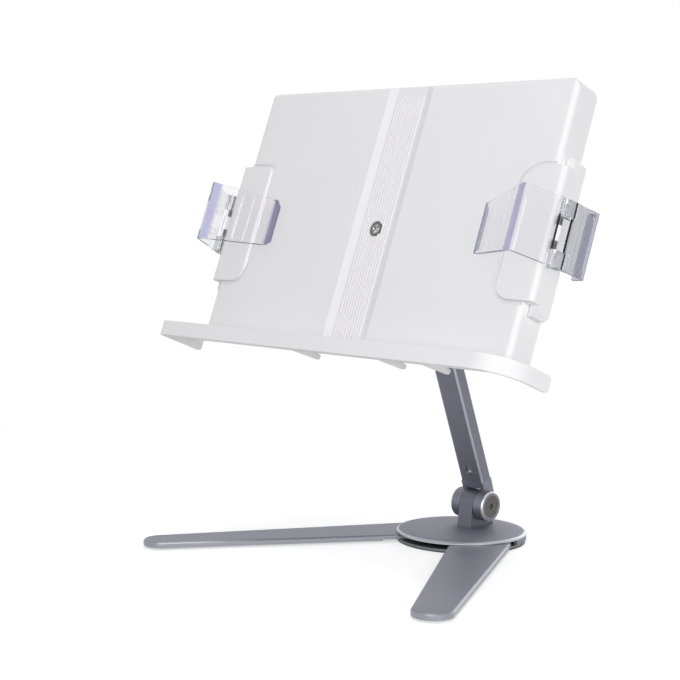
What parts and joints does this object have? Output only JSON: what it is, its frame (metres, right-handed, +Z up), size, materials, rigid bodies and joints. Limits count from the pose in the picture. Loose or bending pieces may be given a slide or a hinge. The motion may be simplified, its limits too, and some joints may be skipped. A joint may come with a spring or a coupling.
{
  "type": "adjustable book stand",
  "caption": "Table-top book stand: a tilting white panel with a ledge and sprung clear page clips on a twice-hinged aluminium post over a round base with swinging legs.",
  "frame": {"origin": "on the table, under the centre of the round base", "axes": "+Z up, -Y towards the reader, +X to the right as seen from the front; X = 0 is the middle plane"},
  "size_m": [0.347, 0.2523, 0.3458],
  "materials": {
    "foam_rubber": "matt black foam rubber",
    "grey_plate": "grey steel sheet",
    "silver_paint": "satin silver paint on die-cast aluminium",
    "anodised_tube": "satin anodised extruded tube",
    "steel": "plain zinc-plated steel",
    "spring_wire": "drawn spring wire",
    "dark_cap": "dark moulded insert",
    "white_plastic": "fine satin moulded texture",
    "back_plastic": "fine satin moulded texture",
    "clear_plastic": "clear polished plastic with a violet tint at its edges"
  },
  "bodies": {
    "base": {"base_pad": "foam_rubber", "base_plate": "grey_plate", "base_cover": "silver_paint", "leg_pin_left": "steel", "leg_pin_right": "steel", "lug_screws": "steel", "base_lug": "silver_paint"},
    "leg_left": {"leg_left": "silver_paint", "leg_foot_left": "foam_rubber"},
    "leg_right": {"leg_right": "silver_paint", "leg_foot_right": "foam_rubber"},
    "post": {"lower_fork": "silver_paint", "upper_fork": "silver_paint", "post_tube": "anodised_tube", "post_screw_lower": "steel", "post_screw_upper": "steel", "lower_bolt": "steel", "upper_bolt": "steel", "lower_cap_left": "dark_cap", "lower_cap_right": "dark_cap", "upper_cap_left": "dark_cap", "upper_cap_right": "dark_cap"},
    "panel": {"panel_head": "silver_paint", "panel_shell": "white_plastic", "panel_back": "back_plastic", "back_screws": "steel", "panel_screw": "steel", "ledge": "white_plastic", "ledge_screws": "steel"},
    "slide_left": {"side_plate_left": "white_plastic", "clip_pin_left": "steel", "spring_left_top": "spring_wire", "spring_left_bottom": "spring_wire"},
    "slide_right": {"side_plate_right": "white_plastic", "clip_pin_right": "steel", "spring_right_top": "spring_wire", "spring_right_bottom": "spring_wire"},
    "clip_left": {"clip_left": "clear_plastic"},
    "clip_right": {"clip_right": "clear_plastic"}
  },
  "joints": [
    {"name": "leg_left_swing", "type": "hinge", "parent": "base", "child": "leg_left", "pos_m": [-0.0236, 0, 0.0045], "axis": [0, 0, 1], "range_deg": [0, 31]},
    {"name": "leg_right_swing", "type": "hinge", "parent": "base", "child": "leg_right", "pos_m": [0.0236, 0, 0.0045], "axis": [0, 0, -1], "range_deg": [0, 31]},
    {"name": "post_tilt", "type": "hinge", "parent": "base", "child": "post", "pos_m": [0, 0.017, 0.026], "axis": [1, 0, 0], "range_deg": [-40, 28]},
    {"name": "panel_tilt", "type": "hinge", "parent": "post", "child": "panel", "pos_m": [0, -0.06146, 0.22725], "axis": [1, 0, 0], "range_deg": [-48, 42]},
    {"name": "slide_left", "type": "slide", "parent": "panel", "child": "slide_left", "axis": [-1, 0, 0], "range_m": [0, 0.025]},
    {"name": "slide_right", "type": "slide", "parent": "panel", "child": "slide_right", "axis": [1, 0, 0], "range_m": [0, 0.025]},
    {"name": "clip_left_open", "type": "hinge", "parent": "slide_left", "child": "clip_left", "pos_m": [-0.162, -0.10239, 0.24283], "axis": [0, -0.3559, -0.9345], "range_deg": [0, 24], "stiffness_Nm_per_rad": 0.2, "springref_deg": -34.38, "deforming": ["spring_left_top", "spring_left_bottom"]},
    {"name": "clip_right_open", "type": "hinge", "parent": "slide_right", "child": "clip_right", "pos_m": [0.162, -0.10239, 0.24283], "axis": [0, 0.3559, 0.9345], "range_deg": [0, 24], "stiffness_Nm_per_rad": 0.2, "springref_deg": -34.38, "deforming": ["spring_right_top", "spring_right_bottom"]}
  ]
}
